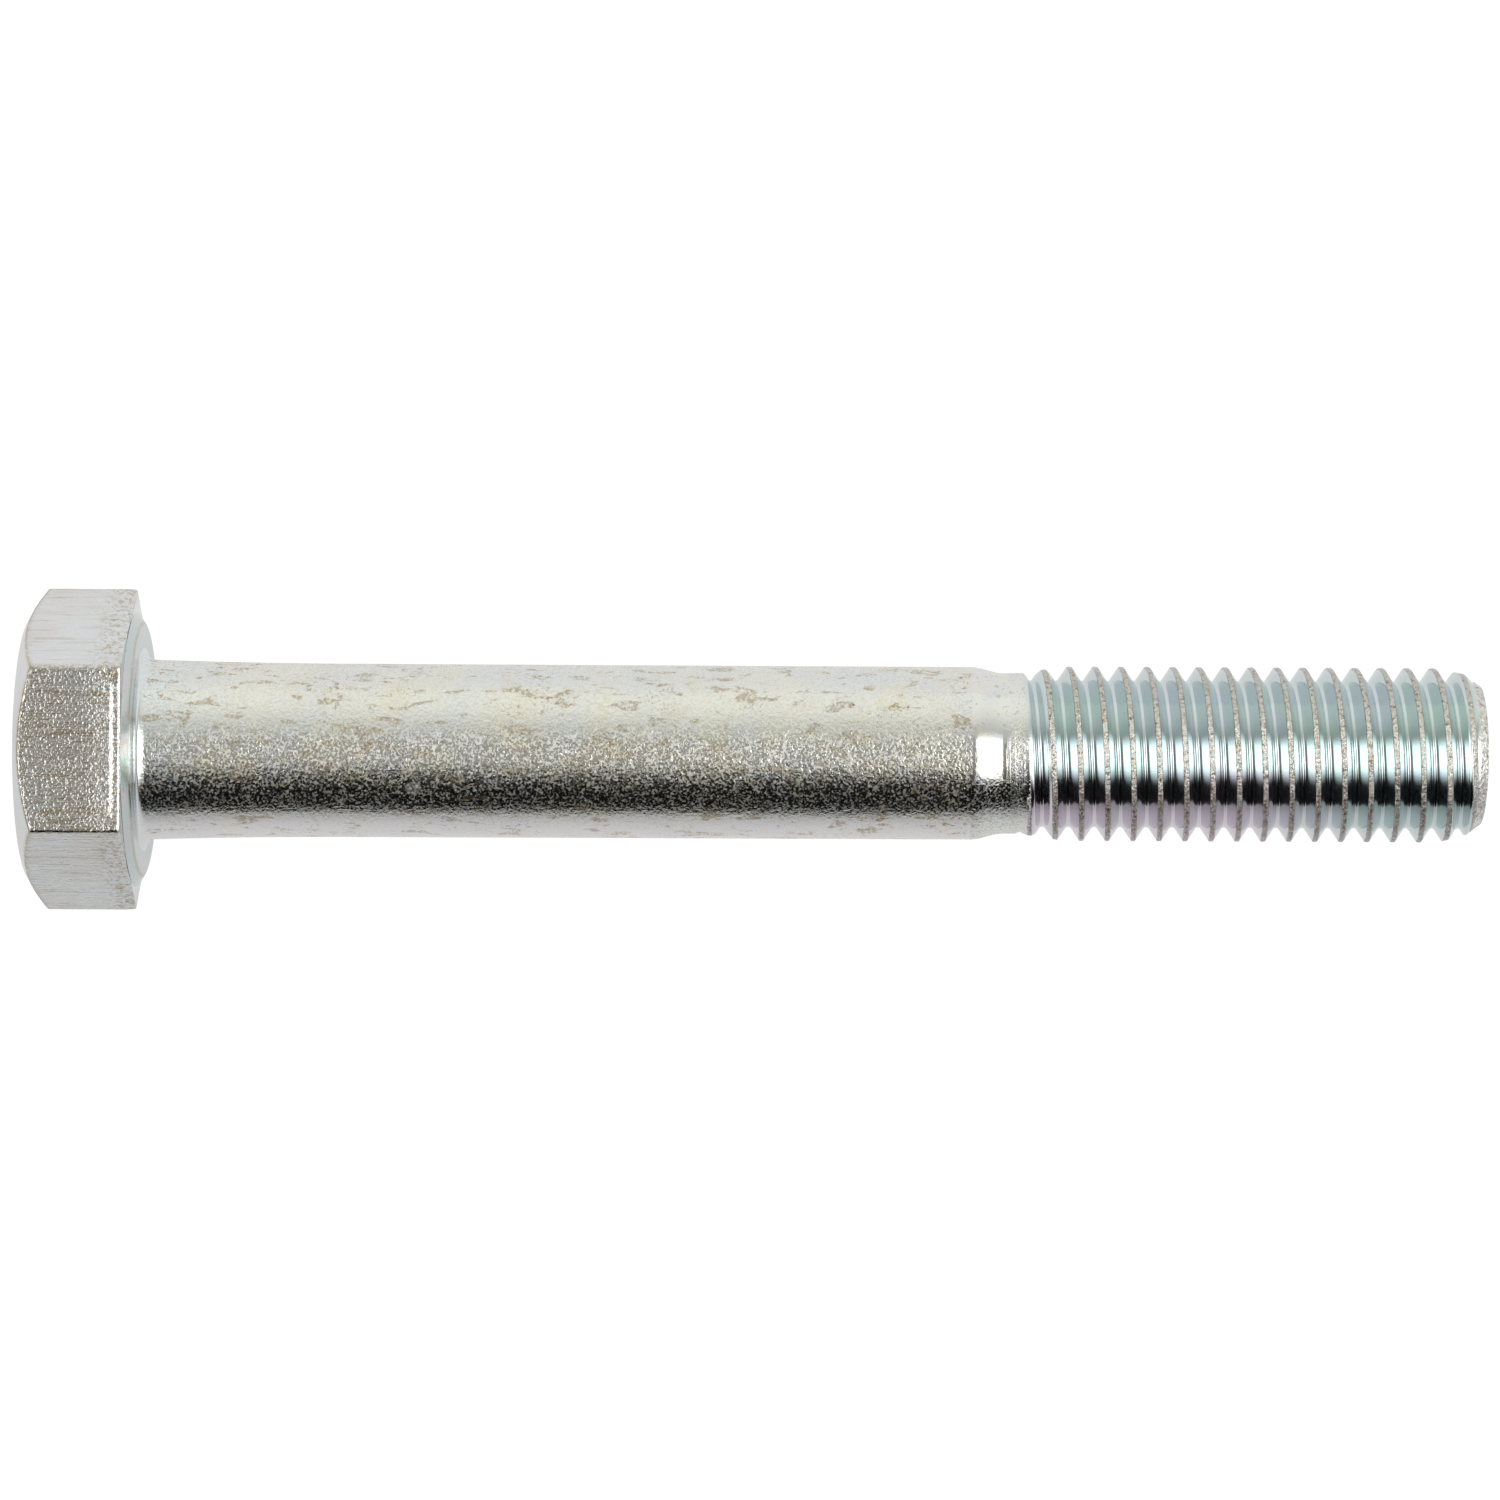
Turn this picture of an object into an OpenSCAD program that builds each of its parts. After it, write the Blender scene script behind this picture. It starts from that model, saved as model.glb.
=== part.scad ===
// Hex bolt with a partly threaded shank, cold headed and rolled, lying along +X.
// The origin is the centre of the bearing face under the head. The head is on the -X side,
// the point is at +X, and two of the head's flats face up and down.

/* [Thread] */
// Nominal thread diameter
thread_d = 12; // [10:0.5:14]
// Pitch of the thread, from crest to crest
pitch = 1.75; // [1.25:0.25:2]
// Length of full thread, measured back from the point
thread_length = 30; // [20:1:45]
// How far the rolled crests stay under the nominal diameter
crest_allowance = 0.2; // [0:0.02:0.3]
// Slope of the bevel on the point, from the axis
point_angle = 38; // [30:1:45]

/* [Shank] */
// Length from the bearing face to the point
bolt_length = 90; // [75:1:120]
// How much thinner the plain shank is than the nominal diameter
shank_undersize = 0.34; // [0.1:0.02:0.5]
// Extra diameter of the shank just under the head
root_swell = 0.44; // [0:0.02:0.5]
// Radius of the fillet between the shank and the bearing face
fillet_r = 0.8; // [0.4:0.1:1]

/* [Head] */
// Width of the head across its flats
across_flats = 18.8; // [17:0.1:22]
// Height of the head, from the bearing face to the crown
head_h = 7.7; // [6:0.1:9]
// Slope of the crown's chamfer, from the crown face
chamfer_angle = 30; // [15:1:32]
// Diameter of the flat crown, as a share of the width across flats
crown_share = 0.92; // [0.88:0.005:0.96]
// Diameter of the washer face, as a share of the width across flats
washer_share = 0.9; // [0.86:0.005:0.94]
// Height of the washer face
washer_h = 0.5; // [0.3:0.1:0.8]

/* [Hidden] */

head_finish = [0.74, 0.73, 0.71];
shank_finish = [0.78, 0.78, 0.77];
rolled_finish = [0.72, 0.77, 0.79];

// The basic thread: a 60 degree V with a rounded root, cut off flat at the crest.
flank_angle = 30;
v_height = pitch / (2 * tan(flank_angle));
pitch_r = (thread_d - 0.6495 * pitch - 0.08) / 2;
crest_r = (thread_d - crest_allowance) / 2;
v_bottom_r = pitch_r - v_height / 2;
root_arc_r = 0.139 * pitch;
root_r = v_bottom_r + root_arc_r;
flank_foot_r = v_bottom_r + root_arc_r / sin(flank_angle) - root_arc_r * sin(flank_angle);
flank_foot_gap = root_arc_r * cos(flank_angle);
crest_half_w = pitch / 4 - (crest_r - pitch_r) * tan(flank_angle);

// The wire is drawn down to the rolling diameter before the thread is rolled on it.
blank_r = pitch_r + 0.02;
thread_start = bolt_length - thread_length - pitch - 0.05;
groove_start = thread_start + 0.25 * pitch;
groove_fade = 0.55 * pitch;
crest_fade = 2.5 * pitch;
crest_lag = 0.83 * pitch;

// The point: a bevel, then the last crests rolled a little lower than the others.
point_r = 0.953 * root_r;
low_crest_slope = 0.2;
low_crest_r = crest_r - 0.62;

shank_r = (thread_d - shank_undersize) / 2;
neck_start = thread_start - 2.6;
neck_taper_start = neck_start + 0.3;
neck_taper_end = thread_start - 0.4;
swell_end = 14;
swell_r = shank_r + root_swell / 2;
fillet_foot_r = swell_r + fillet_r;

corner_d = across_flats / cos(30) - 0.09;
crown_r = crown_share * across_flats / 2;
washer_r = washer_share * across_flats / 2;
washer_foot_r = min(washer_r + 0.8, across_flats / 2 - 0.1);
washer_shoulder_r = washer_r + 0.3;
washer_edge = 0.17;
hex_bottom = -washer_h;

turned_fn = 96;
fillet_steps = 8;
turn_steps = 56;

// Turns a list of [radius, x] points into a round solid along the X axis.
module turned(profile) {
    rotate([0, 90, 0])
        rotate_extrude($fn = turned_fn)
            polygon(profile);
}

// The hexagonal block. A cone chamfers its crown, and a cylinder takes off its sharp corners.
module hex_head() {
    reach = corner_d / 2 - crown_r + 1;
    color(head_finish)
        intersection() {
            translate([-head_h, 0, 0])
                rotate([0, 90, 0])
                    rotate([0, 0, 30])
                        cylinder(h = head_h + hex_bottom, d = across_flats / cos(30), $fn = 6);
            turned([
                [0, -head_h],
                [crown_r, -head_h],
                [crown_r + reach, -head_h + reach * tan(chamfer_angle)],
                [crown_r + reach, 0],
                [0, 0],
            ]);
            translate([-head_h, 0, 0])
                rotate([0, 90, 0])
                    cylinder(h = head_h, d = corner_d, $fn = turned_fn);
        }
}

// The raised ring that bears on the work, from the foot of the fillet to its own sloping edge.
module washer_face() {
    color(head_finish)
        turned([
            [fillet_foot_r, hex_bottom],
            [washer_foot_r, hex_bottom],
            [washer_shoulder_r, -washer_edge],
            [washer_r, 0],
            [fillet_foot_r, 0],
        ]);
}

// The root inside the washer face, the fillet, a slight swell behind it, then the plain cylinder.
module shank() {
    fillet = [for (i = [0 : fillet_steps])
        let (a = 90 * i / fillet_steps)
        [fillet_foot_r - fillet_r * sin(a), fillet_r * (1 - cos(a))]];
    color(shank_finish)
        turned(concat(
            [[0, hex_bottom], [fillet_foot_r, hex_bottom]],
            fillet,
            [
                [shank_r, swell_end],
                [shank_r, neck_start],
                [0, neck_start],
            ]
        ));
}

// The shoulder and taper from the shank down to the rolling diameter.
module thread_neck() {
    color(rolled_finish)
        turned([
            [0, neck_start],
            [shank_r, neck_start],
            [shank_r, neck_taper_start],
            [blank_r, neck_taper_end],
            [blank_r, thread_start],
            [0, thread_start],
        ]);
}

// Where a profile line crosses the thread's ridge: [share of a pitch from the crest, radius].
ridge = [
    [-crest_half_w / pitch, crest_r],
    [crest_half_w / pitch, crest_r],
    [0.5 - flank_foot_gap / pitch, flank_foot_r],
    [0.5, root_r],
    [0.5 + flank_foot_gap / pitch, flank_foot_r],
];
ridge_points = len(ridge);
ridge_rows = ridge_points * (ceil((bolt_length - thread_start) / pitch) + 3);

function smooth(t) = let (u = min(1, max(0, t))) u * u * (3 - 2 * u);

// The rolls press the groove in quickly and raise the crest over two turns.
function rolled_r(r, x) = blank_r
    + max(0, r - blank_r) * smooth((x - thread_start) / crest_fade)
    - max(0, blank_r - r) * smooth((x - groove_start) / groove_fade);

// The largest radius that the point leaves at x.
function point_limit(x) = let (back = bolt_length - x) min(
    point_r + back * tan(point_angle),
    low_crest_r + back * low_crest_slope,
    crest_r
);

// Each row of points follows the helix: a right-hand thread moves along +X by a pitch a turn.
function row_x(i, j) = bolt_length - crest_lag + pitch * (
    floor(j / ridge_points) + ridge[j % ridge_points][0] + i / turn_steps
    - ridge_rows / ridge_points + 2
);

// Rows that run off either end of the thread are gathered into the ring at that end.
function row_index(i, j) = let (x = row_x(i, j), k = i * (ridge_rows + 1))
    x <= thread_start ? k : (x >= bolt_length ? k + ridge_rows : k + j);

// The last column joins the first one, a pitch further along.
function grid_index(i, j) = i < turn_steps
    ? row_index(i, j)
    : row_index(0, min(ridge_rows, j + ridge_points));

function thread_point(i, j) =
    let (
        x = j == 0 ? thread_start : j == ridge_rows ? bolt_length : row_x(i, j),
        full = ridge[j % ridge_points][1],
        r = j == 0 ? blank_r : j == ridge_rows ? point_r : min(rolled_r(full, x), point_limit(x)),
        a = 360 * i / turn_steps
    )
    [x, r * cos(a), r * sin(a)];

function triangle(a, b, c) = a == b || b == c || c == a ? [] : [[a, b, c]];

// The rolled thread as one closed skin around its core.
module thread() {
    points = [for (i = [0 : turn_steps - 1]) for (j = [0 : ridge_rows]) thread_point(i, j)];
    skin = [for (i = [0 : turn_steps - 1]) for (j = [0 : ridge_rows - 1])
        let (
            a = grid_index(i, j),
            b = grid_index(i + 1, j),
            c = grid_index(i + 1, j + 1),
            d = grid_index(i, j + 1)
        )
        each concat(triangle(a, c, b), triangle(a, d, c))];
    start_cap = [[for (i = [0 : turn_steps - 1]) row_index(i, 0)]];
    point_cap = [[for (i = [turn_steps - 1 : -1 : 0]) row_index(i, ridge_rows)]];
    color(rolled_finish)
        polyhedron(points, concat(skin, start_cap, point_cap), convexity = 20);
}

hex_head();
washer_face();
shank();
thread_neck();
thread();
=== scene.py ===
"""A zinc-plated hex bolt: its finished surfaces, its metal finishes, and the studio round it.

The bolt lies along +X with the centre of its bearing face at the origin. Two wrench flats face
up and down, and a corner of the hexagon faces +Y. Lengths in the classes are millimetres.
"""

import logging
import math
from dataclasses import dataclass, field
from enum import Enum
from typing import Any, Optional, Sequence

import bpy
import numpy as np
from numpy.typing import NDArray
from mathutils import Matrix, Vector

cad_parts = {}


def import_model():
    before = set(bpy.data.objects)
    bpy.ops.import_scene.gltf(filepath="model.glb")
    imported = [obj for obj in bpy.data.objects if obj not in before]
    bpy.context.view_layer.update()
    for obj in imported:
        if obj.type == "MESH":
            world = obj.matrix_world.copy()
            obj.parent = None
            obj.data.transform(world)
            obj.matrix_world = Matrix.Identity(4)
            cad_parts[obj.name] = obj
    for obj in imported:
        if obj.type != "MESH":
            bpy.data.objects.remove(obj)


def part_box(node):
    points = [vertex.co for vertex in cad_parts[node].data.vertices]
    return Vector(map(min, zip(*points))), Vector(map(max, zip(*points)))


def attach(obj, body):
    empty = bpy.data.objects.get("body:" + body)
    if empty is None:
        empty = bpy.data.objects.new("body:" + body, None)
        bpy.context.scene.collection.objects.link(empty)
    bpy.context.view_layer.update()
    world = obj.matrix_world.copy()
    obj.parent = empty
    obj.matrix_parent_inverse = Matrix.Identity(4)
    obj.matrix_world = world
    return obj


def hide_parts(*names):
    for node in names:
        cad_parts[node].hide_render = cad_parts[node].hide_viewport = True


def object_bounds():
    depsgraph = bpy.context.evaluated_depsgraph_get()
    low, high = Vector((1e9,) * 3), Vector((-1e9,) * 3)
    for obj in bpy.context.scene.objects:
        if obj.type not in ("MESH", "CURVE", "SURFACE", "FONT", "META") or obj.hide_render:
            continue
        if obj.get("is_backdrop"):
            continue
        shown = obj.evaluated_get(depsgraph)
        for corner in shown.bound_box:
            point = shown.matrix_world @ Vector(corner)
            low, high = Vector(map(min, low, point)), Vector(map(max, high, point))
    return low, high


FloatArray = NDArray[np.float64]
IndexArray = NDArray[np.int64]
Colour = tuple[float, float, float]
Span = tuple[float, float]
Point = tuple[float, float, float]

MM = 0.001
FULL_TURN = 2 * math.pi
COS_30 = math.cos(math.radians(30))
TAN_30 = math.tan(math.radians(30))
SECTOR = math.radians(60)
SHARP_DEG = 50
BODY = "root"

log = logging.getLogger("hex_bolt")


# ------------------------------------------------
# Shapes
# ------------------------------------------------


def smoothstep(value: FloatArray, low: float, high: float) -> FloatArray:
    """0 below low, 1 above high, and t * t * (3 - 2 * t) between them."""
    t = np.clip((value - low) / (high - low), 0, 1)
    return t * t * (3 - 2 * t)


def smooth_min(a: FloatArray, b: FloatArray, blend: float) -> FloatArray:
    """The smaller of a and b, rounded off where they are within blend of each other."""
    h = np.clip(0.5 + (b - a) / (2 * blend), 0, 1)
    return b + (a - b) * h - blend * h * (1 - h)


def even_angles(count: int) -> FloatArray:
    """Angles evenly spaced round a full turn."""
    return np.linspace(0, FULL_TURN, count, endpoint=False)


def rounded_path(
    corners: Sequence[Any], cuts: Sequence[tuple[float, float]], runs: Sequence[int], bend: int = 7
) -> FloatArray:
    """Carries a broken line round its corners on short curves.

    Each corner P is replaced by the curve (1-t)^2 A + 2 t (1-t) P + t^2 B, where A and B lie on
    the line before and after it.

    Args:
        corners: The line's points. Each is (radius, x), and either may differ by column.
        cuts: How far A lies before each inner corner, and B after it.
        runs: How many rows each straight stretch gets.
        bend: How many rows each curve gets.

    Returns:
        An array of rows x columns x 2, holding radius and x.
    """
    wide = [np.stack(np.broadcast_arrays(*map(np.atleast_1d, p)), axis=-1) for p in corners]
    columns = max(len(p) for p in wide)
    line = [np.broadcast_to(p, (columns, 2)).astype(float) for p in wide]
    t = np.linspace(0, 1, bend)[1:, None, None]

    def towards(start: FloatArray, goal: FloatArray, reach: float) -> FloatArray:
        """The point that lies reach from start, on the way to goal."""
        step = goal - start
        return start + step * (reach / np.linalg.norm(step, axis=-1, keepdims=True))

    def straight(start: FloatArray, goal: FloatArray, count: int) -> FloatArray:
        """Rows evenly spaced after start, up to goal."""
        s = np.linspace(0, 1, count + 1)[1:, None, None]
        return start + (goal - start) * s

    rows, last = [line[0][None]], line[0]
    for k, (before, after) in enumerate(cuts, start=1):
        enter = towards(line[k], line[k - 1], before)
        leave = towards(line[k], line[k + 1], after)
        rows.append(straight(last, enter, runs[k - 1]))
        rows.append((1 - t) ** 2 * enter + 2 * t * (1 - t) * line[k] + t**2 * leave)
        last = leave
    rows.append(straight(last, line[-1], runs[-1]))
    return np.concatenate(rows)


class Ends(Enum):
    """How a turned surface closes."""

    ON_AXIS = "each end runs in to a point on the axis"
    RING = "the last row joins the first, as on a ring"


@dataclass
class Skin:
    """A closed surface: its points in millimetres, its triangles, and values at each point."""

    points: FloatArray
    triangles: IndexArray
    marks: dict[str, FloatArray] = field(default_factory=dict)

    @staticmethod
    def sheet(left: IndexArray, right: IndexArray) -> IndexArray:
        """Joins each column of points to the next one.

        Args:
            left: The index of each point, columns x rows.
            right: The index of its neighbour, a step round the axis from +Y towards +Z.

        Returns:
            Triangles that face away from the axis, without those that have no area.
        """
        a, b, c, d = left[:, :-1], right[:, :-1], right[:, 1:], left[:, 1:]
        both = np.stack([np.stack([a, b, c], -1), np.stack([a, c, d], -1)]).reshape(-1, 3)
        p, q, r = both.T
        return both[(p != q) & (q != r) & (r != p)]

    @classmethod
    def turned(
        cls, path: FloatArray, angles: FloatArray, ends: Ends, **marks: FloatArray
    ) -> "Skin":
        """Carries a meridian round the X axis: a point is (x, r cos a, r sin a).

        Args:
            path: Radius and x, rows x columns x 2. One column serves all the angles.
            angles: The angle of each column, from +Y towards +Z.
            ends: How the surface closes.
            marks: Values to keep at each point, rows x columns.

        Returns:
            The closed surface.
        """
        rows, columns = len(path), len(angles)
        r, x = (np.broadcast_to(path[..., k], (rows, columns)) for k in (0, 1))
        points = np.stack([x, r * np.cos(angles), r * np.sin(angles)], -1)
        index = np.arange(rows * columns).reshape(rows, columns)
        values = {k: np.broadcast_to(v, (rows, columns)) for k, v in marks.items()}
        if ends is Ends.RING:
            index = np.concatenate([index, index[:1]])
        else:
            poles = points[[0, -1]].mean(axis=1)
            poles[:, 1:] = 0
            first, last = rows * columns, rows * columns + 1
            wrap = [np.full((1, columns), first), index, np.full((1, columns), last)]
            index = np.concatenate(wrap)
            points = np.concatenate([points.reshape(-1, 3), poles])
            values = {k: np.r_[v.ravel(), v[0].mean(), v[-1].mean()] for k, v in values.items()}
        left = index.T
        triangles = cls.sheet(left, np.roll(left, -1, axis=0))
        return cls(points.reshape(-1, 3), triangles, {k: v.ravel() for k, v in values.items()})

    def piece(self, name: str) -> bpy.types.Object:
        """Makes a smooth-shaded object of the surface, with its marks as attributes."""
        used, faces = np.unique(self.triangles, return_inverse=True)
        mesh = bpy.data.meshes.new(name)
        mesh.from_pydata((self.points[used] * MM).tolist(), [], faces.reshape(-1, 3).tolist())
        mesh.polygons.foreach_set("use_smooth", np.ones(len(mesh.polygons), dtype=bool))
        mesh.set_sharp_from_angle(angle=math.radians(SHARP_DEG))
        for mark, values in self.marks.items():
            layer = mesh.attributes.new(mark, "FLOAT", "POINT")
            layer.data.foreach_set("value", values[used].astype(np.float32))
        mesh.validate()
        shown = bpy.data.objects.new(name, mesh)
        bpy.context.scene.collection.objects.link(shown)
        return shown


# ------------------------------------------------
# Shader maths
# ------------------------------------------------


@dataclass(frozen=True)
class Pattern:
    """A noise pattern, in millimetres.

    size is how long one swell of it is, detail how many finer layers it has, and rough how strong
    they are. wander warps it. stretch holds a factor for each axis, and a small one draws the
    pattern out that way. shift picks another pattern of the same kind. cut holds the two levels
    between which it rises from 0 to 1; without it, the pattern varies around 0.5.
    """

    size: float
    detail: float = 2
    wander: float = 0
    rough: float = 0.5
    stretch: Point = (1, 1, 1)
    shift: float = 0
    cut: Optional[Span] = None


class Bench:
    """A node tree to work on. Its make method adds every kind of node."""

    RAGGED = Pattern(0.5, shift=21)
    PICK_BLUR = 0.02

    def __init__(self, tree: bpy.types.NodeTree) -> None:
        """Clears the tree."""
        self.tree = tree
        tree.nodes.clear()

    def make(
        self, kind: str, settings: dict[str, Any], sockets: dict[Any, Any], output: Any = 0
    ) -> "Signal":
        """Adds one node.

        Args:
            kind: The node's type.
            settings: Its settings, set first.
            sockets: Values or signals for its inputs, by name or by place.
            output: The name or the place of the output to hand back.

        Returns:
            The output, or a signal without a socket from a node that has no outputs.
        """
        made = self.tree.nodes.new(kind)
        for key, value in settings.items():
            setattr(made, key, value)
        for key, value in sockets.items():
            if isinstance(value, Signal):
                self.tree.links.new(value.socket, made.inputs[key])
            elif isinstance(value, tuple) and made.inputs[key].type == "RGBA":
                made.inputs[key].default_value = (*value, 1)
            else:
                made.inputs[key].default_value = value
        return Signal(self, made.outputs[output] if len(made.outputs) else None)

    def colour_mix(self, share: Any, low: Any, high: Any) -> "Signal":
        """The colour low where share is 0, and high where it is 1."""
        sockets = {0: share, 6: low, 7: high}
        return self.make("ShaderNodeMix", {"data_type": "RGBA"}, sockets, 2)

    def coats(self, colour: Any, *coats: tuple[Any, Any]) -> "Signal":
        """A colour under coats, each of which is a share and a colour to mix in."""
        for share, coat in coats:
            colour = self.colour_mix(share, colour, coat)
        return colour

    def place(self, stretch: Point = (1, 1, 1)) -> "Signal":
        """The point on the object, with each axis scaled by a factor."""
        spot = self.make("ShaderNodeTexCoord", {}, {}, "Object")
        return self.make("ShaderNodeVectorMath", {"operation": "MULTIPLY"}, {0: spot, 1: stretch})

    def axis(self, name: str) -> "Signal":
        """One of the point's coordinates on the object, in metres."""
        return self.make("ShaderNodeSeparateXYZ", {}, {0: self.place()}, name)

    def mark(self, name: str) -> "Signal":
        """A value that the mesh keeps at each of its points."""
        return self.make("ShaderNodeAttribute", {"attribute_name": name}, {}, "Fac")

    def rise(self, name: str, span: Span) -> "Signal":
        """0 before a span of an axis, 1 past it, and a smooth rise along it; in millimetres."""
        return self.axis(name).step(span[0] * MM, span[1] * MM)

    def noise(self, pattern: Pattern) -> "Signal":
        """The value of a noise pattern over the object."""
        settings = {"noise_dimensions": "4D"}
        sockets = {
            "Vector": self.place(pattern.stretch), "W": pattern.shift,
            "Scale": 1 / (pattern.size * MM), "Detail": pattern.detail,
            "Roughness": pattern.rough, "Distortion": pattern.wander,
        }
        made = self.make("ShaderNodeTexNoise", settings, sockets)
        return made.step(*pattern.cut) if pattern.cut else made

    def dots(self, size: float, radius: float, share: float, shift: float = 0) -> "Signal":
        """Soft round dots, one in some cells of a random pattern.

        Args:
            size: The size of a cell, in millimetres.
            radius: A dot's radius, as a share of a cell.
            share: How many of the cells have one.
            shift: A number that picks another pattern.

        Returns:
            1 in the middle of a dot and 0 away from it.
        """
        sockets = {"Vector": self.place(), "W": shift, "Scale": 1 / (size * MM)}
        settings = {"voronoi_dimensions": "4D"}
        reach = self.make("ShaderNodeTexVoronoi", settings, sockets, "Distance")
        tint = self.make("ShaderNodeTexVoronoi", settings, sockets, "Color")
        pick = self.make("ShaderNodeSeparateColor", {}, {0: tint}, 0)
        picked = pick.step(1 - share, 1 - share + self.PICK_BLUR)
        return (1 - reach.step(radius * 0.5, radius)) * picked

    def spot(self, at: Point, radius: float, edge: float) -> "Signal":
        """1 within a radius of a point, 0 past it, with a soft ragged edge; in millimetres."""
        centre = tuple(v * MM for v in at)
        settings = {"operation": "DISTANCE"}
        reach = self.make("ShaderNodeVectorMath", settings, {0: self.place(), 1: centre}, "Value")
        ragged = reach + (self.noise(self.RAGGED) - 0.5) * (edge * MM)
        return 1 - ragged.step((radius - edge) * MM, radius * MM)

    def bump(self, height: "Signal", depth: float, normal: Any = None) -> "Signal":
        """The normal of a surface raised by height times depth, in millimetres."""
        sockets = {"Height": height, "Distance": depth * MM, "Strength": 1.0}
        if normal is not None:
            sockets["Normal"] = normal
        return self.make("ShaderNodeBump", {}, sockets)


class Signal:
    """A node's output. Python's arithmetic on it adds the Math nodes that work it out."""

    def __init__(self, bench: Bench, socket: Any) -> None:
        """Keeps the socket and the bench that it is on."""
        self.bench = bench
        self.socket = socket

    def calc(self, operation: str, *values: Any) -> "Signal":
        """One Math node on the given values."""
        settings = {"operation": operation}
        return self.bench.make("ShaderNodeMath", settings, dict(enumerate(values)))

    def step(self, low: float, high: float) -> "Signal":
        """0 below low, 1 above high, and a smooth rise between them."""
        settings = {"interpolation_type": "SMOOTHSTEP"}
        sockets = {"Value": self, "From Min": low, "From Max": high}
        return self.bench.make("ShaderNodeMapRange", settings, sockets)

    def __add__(self, other: Any) -> "Signal":
        """self + other."""
        return self.calc("ADD", self, other)

    __radd__ = __add__

    def __sub__(self, other: Any) -> "Signal":
        """self - other."""
        return self.calc("SUBTRACT", self, other)

    def __rsub__(self, other: Any) -> "Signal":
        """other - self."""
        return self.calc("SUBTRACT", other, self)

    def __mul__(self, other: Any) -> "Signal":
        """self * other."""
        return self.calc("MULTIPLY", self, other)

    __rmul__ = __mul__

    def __abs__(self) -> "Signal":
        """The size of self."""
        return self.calc("ABSOLUTE", self)


# ------------------------------------------------
# Finishes
# ------------------------------------------------

Look = tuple[Signal, Signal, Signal]


@dataclass(frozen=True)
class ZincFinish:
    """Clear zinc plating over steel. Each kind says how its own surface varies.

    The spans along an axis and the depths are in millimetres. A cut holds the levels between
    which a pattern shows. A share is how strongly it shows in the colour, and a dulling is how
    much it adds to the roughness.
    """

    name: str
    slot: str
    clean: Colour = (0.77, 0.77, 0.71)
    tint: Colour = (0.73, 0.75, 0.75)
    stain: Colour = (0.42, 0.35, 0.24)
    gloss_roughness: float = 0.15
    drift_size: float = 2
    drift_cut: Span = (0.36, 0.64)
    flecks: Pattern = Pattern(0.15, shift=14, cut=(0.44, 0.65))
    fleck_dulling: float = 0.36

    def paint(self, bench: Bench) -> Look:
        """The look: colour, roughness and normal over the surface."""
        raise NotImplementedError

    def ground(self, bench: Bench) -> Signal:
        """The plating's own colour, which drifts in wide swells between two shades."""
        drift = bench.noise(Pattern(self.drift_size, 2, 0.6, shift=11, cut=self.drift_cut))
        return bench.colour_mix(drift, self.clean, self.tint)

    def dress(self, shown: bpy.types.Object) -> None:
        """Makes the material and puts it on a piece."""
        material = bpy.data.materials.new(self.name)
        material.use_nodes = True
        bench = Bench(material.node_tree)
        colour, roughness, normal = self.paint(bench)
        sockets = {
            "Base Color": colour, "Roughness": roughness, "Normal": normal, "Metallic": 1.0,
        }
        surface = bench.make("ShaderNodeBsdfPrincipled", {}, sockets)
        bench.make("ShaderNodeOutputMaterial", {}, {"Surface": surface})
        shown.data.materials.append(material)


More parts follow.
